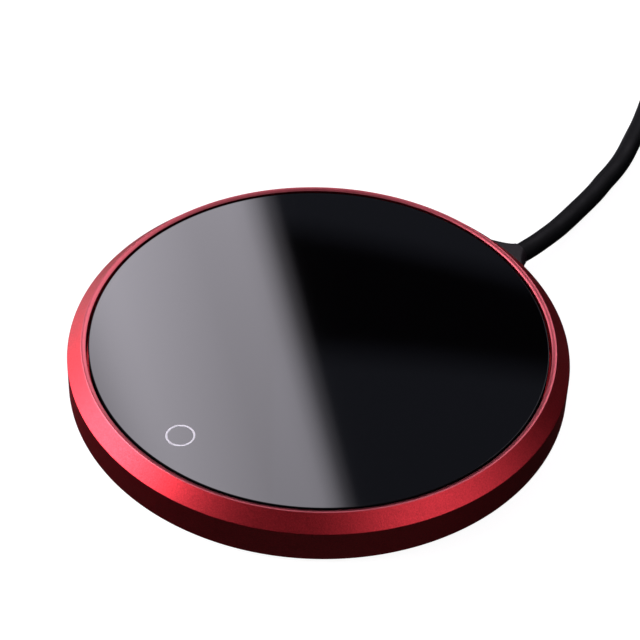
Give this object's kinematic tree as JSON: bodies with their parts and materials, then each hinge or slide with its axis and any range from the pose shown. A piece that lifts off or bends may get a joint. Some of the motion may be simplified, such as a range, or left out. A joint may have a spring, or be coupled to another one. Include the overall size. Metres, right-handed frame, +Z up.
{
  "type": "mug warmer",
  "caption": "Slim round mug warmer: floating black glass hot plate in a chamfered red ring, touch key under the glass, rubber feet, captive mains cord with round-pin plug.",
  "frame": {"origin": "centre of the ring's axis on the surface that the feet stand on", "axes": "+Z up through the glass, the cord leaves the ring along +Y"},
  "size_m": [0.12, 0.2856, 0.0137],
  "materials": {
    "anodised_ring": "fine bead-blasted red anodised",
    "black_glass": "polished black tempered glass",
    "white_print": "fired white enamel",
    "base_plastic": "fine moulded grain",
    "foot_rubber": "matt",
    "steel": "plain",
    "black_steel": "black oxide",
    "spring_steel": "bright wire",
    "board_green": "solder mask",
    "part_black": "epoxy moulding",
    "part_yellow": "dipped epoxy",
    "terminal_green": "moulded",
    "fuse_glass": "clear",
    "plunger_white": "moulded",
    "brass_wire": "bright",
    "copper_foil": "foil",
    "plate_aluminium": "mill finish",
    "mica": "silvery flake",
    "track_metal": "etched foil",
    "insulation": "ceramic fibre felt",
    "cord_black": "smooth jacket",
    "relief_black": "moulded",
    "plug_black": "moulded",
    "pin_metal": "nickel plated",
    "core_insulation": "drawn jacket",
    "lead_sleeve": "glass braid",
    "sense_wire": "drawn jacket",
    "bead_coat": "epoxy bead",
    "tie_fabric": "hook and loop"
  },
  "bodies": {
    "casing": {"rim_ring": "anodised_ring", "base_cover": "base_plastic", "feet": "foot_rubber", "base_screws": "black_steel", "control_board": "board_green", "board_screws": "steel", "terminal_block": "terminal_green", "board_fuse": "fuse_glass", "dropper_capacitor": "part_yellow", "bridge_rectifier": "part_black", "controller_chip": "part_black", "heater_triac": "part_black", "gravity_switch": "part_black", "touch_spring": "brass_wire", "plate_springs": "spring_steel", "strain_relief": "relief_black", "cord_tail": "cord_black", "cord_clamp": "plunger_white", "clamp_screws": "steel", "mains_cores": "core_insulation", "heater_leads": "lead_sleeve", "sensor_leads": "sense_wire", "power_cord": "cord_black", "cord_coil": "cord_black", "cord_tie": "tie_fabric", "plug_lead": "cord_black", "plug_body": "plug_black", "plug_pins": "pin_metal"},
    "heating_plate": {"glass_plate": "black_glass", "touch_key_mark": "white_print", "touch_foil": "copper_foil", "heat_spreader": "plate_aluminium", "upper_mica": "mica", "heating_track": "track_metal", "lower_mica": "mica", "insulation_pad": "insulation", "heater_pan": "steel", "guide_studs": "steel", "stud_screws": "steel", "thermal_fuse": "steel", "thermistor": "bead_coat", "sensor_clip": "spring_steel"},
    "plunger": {"switch_plunger": "plunger_white"}
  },
  "joints": [
    {"name": "plate_press", "type": "slide", "parent": "casing", "child": "heating_plate", "axis": [0, 0, -1], "range_m": [0, 0.0005], "stiffness_N_per_m": 1500, "springref_m": -0.0015, "deforming": ["plate_springs", "touch_spring", "heater_leads", "sensor_leads"]},
    {"name": "plunger_press", "type": "slide", "parent": "casing", "child": "plunger", "axis": [0, 0, -1], "range_m": [0, 0.0005]}
  ],
  "couplings": [
    {"joint": "plunger_press", "follows": "plate_press", "ratio": 1}
  ]
}
